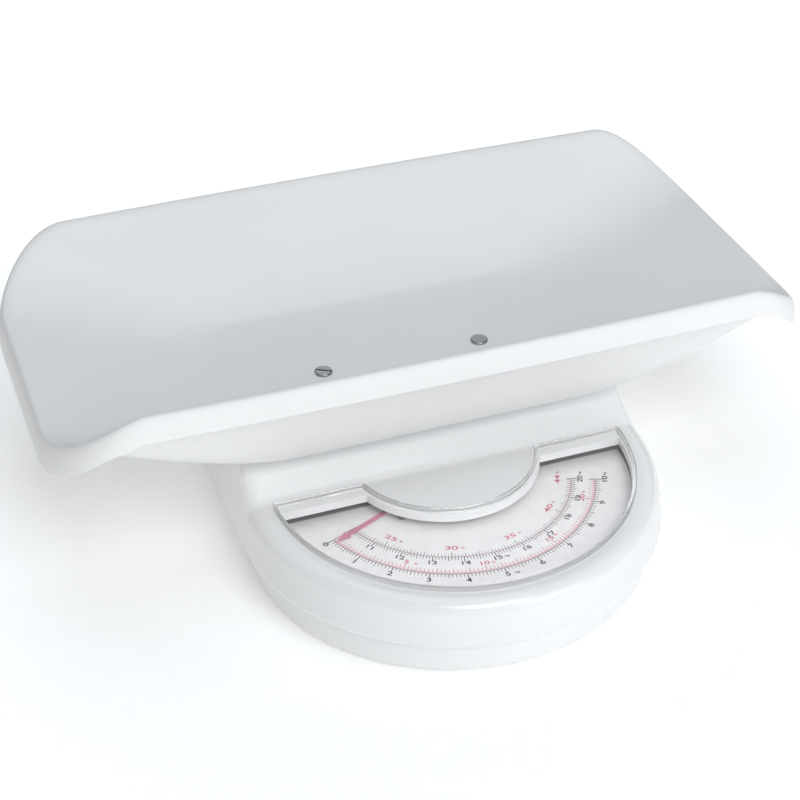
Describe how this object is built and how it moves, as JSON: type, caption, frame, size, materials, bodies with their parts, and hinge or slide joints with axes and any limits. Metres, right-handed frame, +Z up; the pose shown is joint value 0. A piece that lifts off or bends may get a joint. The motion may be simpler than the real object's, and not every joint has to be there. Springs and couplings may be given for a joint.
{
  "type": "animal weighing scale",
  "caption": "Mechanical dial scale for small animals: long shallow tray with a rolled rim on a low rounded housing with a half-ring dial window.",
  "frame": {"origin": "bottom centre of the whole object's box, on the table", "axes": "+X along the tray, -Y the dial side, +Z up"},
  "size_m": [0.5526, 0.3941, 0.1744],
  "materials": {
    "white_tray": "glossy injection-moulded",
    "white_housing": "glossy injection-moulded",
    "clear": "clear moulded acrylic",
    "dial_white": "white printed sheet",
    "pointer_pink": "satin paint",
    "steel": "zinc plated",
    "steel_dark": "blackened spring steel",
    "screw_steel": "nickel plated",
    "brass": "turned",
    "rubber": "matt",
    "grey_plastic": "moulded",
    "platform_grey": "satin paint"
  },
  "bodies": {
    "base": {"base_pan": "white_housing", "housing_cover": "white_housing", "window": "clear", "rubber_feet": "rubber", "cover_screws": "screw_steel", "dial_plate": "dial_white", "dial_posts": "steel", "dial_rivets": "steel", "movement_bridge": "steel", "spindle_bush": "brass", "rack_guide": "grey_plastic", "fulcrum_brackets": "steel", "crank_bracket": "steel", "crank_pivot": "steel", "spring_bracket": "steel"},
    "platform": {"tray": "white_tray", "tray_screws": "screw_steel", "tray_nuts": "steel", "platform_plate": "platform_grey", "platform_posts": "steel"},
    "long_lever": {"long_lever": "steel", "long_lever_knives": "steel_dark", "spring_shackle": "steel"},
    "short_lever": {"short_lever": "steel", "short_lever_knives": "steel_dark"},
    "crank": {"bell_crank": "steel", "crank_pins": "steel"},
    "rack": {"rack": "brass"},
    "pointer": {"pointer": "pointer_pink", "pointer_hub": "pointer_pink", "spindle_collar": "brass", "spindle": "steel", "pinion": "brass"},
    "zero_wheel": {"zero_wheel": "grey_plastic"},
    "adjuster": {"adjuster_screw": "steel", "main_spring": "steel_dark"}
  },
  "joints": [
    {"name": "platform_slide", "type": "slide", "parent": "base", "child": "platform", "axis": [0, 0, -1], "range_m": [0, 0.004], "stiffness_N_per_m": 49000, "springref_m": -0.0008},
    {"name": "long_lever_pivot", "type": "hinge", "parent": "base", "child": "long_lever", "pos_m": [0, -0.02015, 0.0202], "axis": [-1, 0, 0], "range_deg": [0, 6.4], "deforming": ["main_spring"]},
    {"name": "short_lever_pivot", "type": "hinge", "parent": "base", "child": "short_lever", "pos_m": [0, 0.13585, 0.0285], "axis": [1, 0, 0], "range_deg": [0, 6.4]},
    {"name": "crank_turn", "type": "hinge", "parent": "base", "child": "crank", "pos_m": [0.0135, 0.081, 0.014], "axis": [-1, 0, 0], "range_deg": [0, 49.1]},
    {"name": "rack_slide", "type": "slide", "parent": "base", "child": "rack", "axis": [0, 1, 0], "range_m": [0, 0.02573]},
    {"name": "pointer_spin", "type": "hinge", "parent": "base", "child": "pointer", "pos_m": [0, -0.04435, 0.05], "axis": [0, 0, 1], "range_deg": [0, 273]},
    {"name": "zero_wheel_spin", "type": "hinge", "parent": "base", "child": "zero_wheel", "pos_m": [0, 0.1215, 0.0715], "axis": [0, 0, 1], "range_deg": [-540, 540]},
    {"name": "adjuster_slide", "type": "slide", "parent": "base", "child": "adjuster", "axis": [0, 0, 1], "range_m": [-0.00151, 0.00151], "deforming": ["main_spring"]}
  ],
  "couplings": [
    {"joint": "long_lever_pivot", "follows": "platform_slide", "rad_per_m": 27.835},
    {"joint": "short_lever_pivot", "follows": "platform_slide", "rad_per_m": 27.835},
    {"joint": "crank_turn", "follows": "platform_slide", "rad_per_m": 213.8},
    {"joint": "rack_slide", "follows": "platform_slide", "ratio": 6.4277},
    {"joint": "pointer_spin", "follows": "platform_slide", "rad_per_m": 1190.3},
    {"joint": "adjuster_slide", "follows": "zero_wheel_spin", "m_per_rad": 0.00015915}
  ]
}
